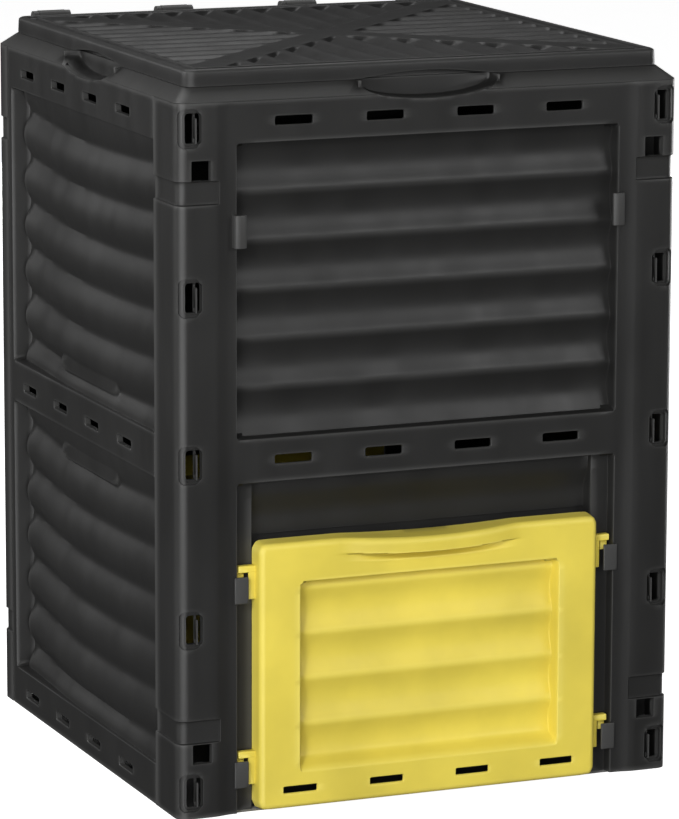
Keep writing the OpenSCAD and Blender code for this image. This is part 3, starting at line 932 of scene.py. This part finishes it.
# ---------------------------------------------------------------- parking clips
def make_parking_clip(name, sign, side):
    """A C seen from above: foot on the wall, bowed plate, and a lip that turns back."""
    outer = [(234.5, -296.6), (234.5, -303.4), (233.4, -305.0), (231.0, -305.8), (227.0, -306.0),
             (223.0, -305.6), (220.6, -304.4), (219.9, -302.6)]
    inner = [(222.0, -302.6), (222.4, -303.4), (225.0, -303.9), (229.0, -303.7), (231.0, -302.6),
             (231.3, -300.5), (231.3, -296.6)]
    plan = np.array(outer + inner) * np.array([sign, 1.0])
    sections = []
    middle = plan.mean(0)
    for rise, shrink in ((0, 0.25), (0.5, 0.0), (PARK_H - 0.5, 0.0), (PARK_H, 0.25)):
        p = middle + (plan - middle) * (1 - shrink / 8.0)
        y = np.clip(p[:, 1], -DOOR_FRONT, None)
        sections.append(np.column_stack([p[:, 0], y, np.full(len(p), PARK_Z + rise)]))
    points, faces = prism(sections)
    obj = mesh_object(name, turned(points, side), faces)
    return finish_piece(obj, CLIP_BLACK, "bin", [name])


for end in ("front", "rear"):
    for word, sign in (("left", -1), ("right", 1)):
        turned_sign = sign if end == "front" else -sign
        make_parking_clip(f"{end}_parking_clip_{word}", turned_sign, end)

# the hinge pins keep their CAD shape and get the clip plastic
for node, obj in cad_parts.items():
    if node.startswith("hinge_pin"):
        obj.data.materials.clear()
        obj.data.materials.append(CLIP_BLACK)


# ---------------------------------------------------------------- stage, light and camera
def stage_material(name, tone, glow):
    material, nodes, links, shader = node_tree(name)
    coords = nodes.new("ShaderNodeTexCoord").outputs["Object"]
    speck = add_noise(nodes, links, coords, 3.0, 3.0)
    links.new(ramp(nodes, links, speck, [(0.3, (tone,) * 3), (0.7, (tone + 0.03,) * 3)]),
              shader.inputs["Base Color"])
    shader.inputs["Roughness"].default_value = 0.9
    shader.inputs["Emission Color"].default_value = (1.0, 1.0, 1.0, 1.0)
    shader.inputs["Emission Strength"].default_value = glow
    shader.inputs["Specular IOR Level"].default_value = 0.1
    return material


def make_floor(name, size, z, tone, glow):
    mesh = bpy.data.meshes.new(name)
    mesh.from_pydata([(-size, -size, z), (size, -size, z), (size, size, z), (-size, size, z)],
                     [], [(0, 1, 2, 3)])
    obj = bpy.data.objects.new(name, mesh)
    bpy.context.scene.collection.objects.link(obj)
    mesh.materials.append(stage_material(name + "_pale", tone, glow))
    return obj


def area_light(name, place, aim, size, power, in_gloss=True):
    """A soft box light; in_gloss says whether it shows in glossy surfaces."""
    data = bpy.data.lights.new(name, "AREA")
    data.shape = "RECTANGLE"
    data.size, data.size_y = size
    data.energy = power
    obj = bpy.data.objects.new(name, data)
    obj.location = place
    obj.rotation_euler = (Vector(aim) - Vector(place)).to_track_quat("-Z", "Y").to_euler()
    obj.visible_camera = False
    obj.visible_glossy = in_gloss
    bpy.context.scene.collection.objects.link(obj)


def make_world(strength):
    """An even white surround."""
    world = bpy.data.worlds.new("studio")
    bpy.context.scene.world = world
    world.use_nodes = True
    background = world.node_tree.nodes["Background"]
    background.inputs["Color"].default_value = (1.0, 1.0, 1.0, 1.0)
    background.inputs["Strength"].default_value = strength


floor = make_floor("floor", 14.0, -0.0006, 0.9, 0.9)
# the floor's own glow doesn't light the object
floor.visible_diffuse = False
floor.visible_glossy = False
floor.visible_shadow = False
# a darker, unlit patch inside the bin's footprint: a real floor that blocks light into the open
# bottom, with its dark tone as painted shade
make_floor("floor_painted_shade_under_bin", 0.292, -0.0003, 0.3, 0.0)
make_world(0.06)
area_light("sun_left", (-3.0, -3.6, 2.6), (0, -0.3, 0.3), (0.8, 0.8), 85, in_gloss=False)
area_light("key", (-3.5, -3.3, 0.9), (0, 0, 0.4), (2.4, 4.0), 95)
area_light("front_left", (-1.6, -4.6, 0.6), (0, 0, 0.4), (2.4, 5.0), 96)
area_light("front_right", (2.6, -4.2, 2.2), (0, 0, 0.4), (2.0, 1.8), 46)
area_light("side", (-4.0, 0.6, 1.8), (0, 0, 0.45), (1.1, 1.1), 56)
area_light("rear_left", (-3.2, 2.6, 1.9), (0, 0, 0.5), (1.1, 1.1), 44)
area_light("rear_low", (1.3, 4.6, 0.2), (0, 0.3, 0.35), (2.4, 1.2), 70)
area_light("right_low", (4.6, 1.2, 0.2), (0.3, 0, 0.35), (2.4, 1.2), 60)
area_light("top", (0.3, 1.2, 3.1), (0, 0, 0.8), (2.0, 1.6), 21)

# a long lens from the front left, a little above
camera = bpy.data.cameras.new("camera")
camera.lens = 209.07
camera.sensor_width = 36.0
camera.clip_end = 100.0
camera_object = bpy.data.objects.new("camera", camera)
camera_object.matrix_world = (
    Matrix.Translation((-2.086, -5.042, 1.457))
    @ Matrix.Rotation(math.radians(-22.629), 4, "Z")
    @ Matrix.Rotation(math.radians(78.901), 4, "X")
    @ Matrix.Rotation(math.radians(0.198), 4, "Z")
)
bpy.context.scene.collection.objects.link(camera_object)
bpy.context.scene.camera = camera_object
bpy.context.scene.view_settings.view_transform = "Standard"
bpy.context.scene.view_settings.look = "None"

bpy.context.view_layer.update()
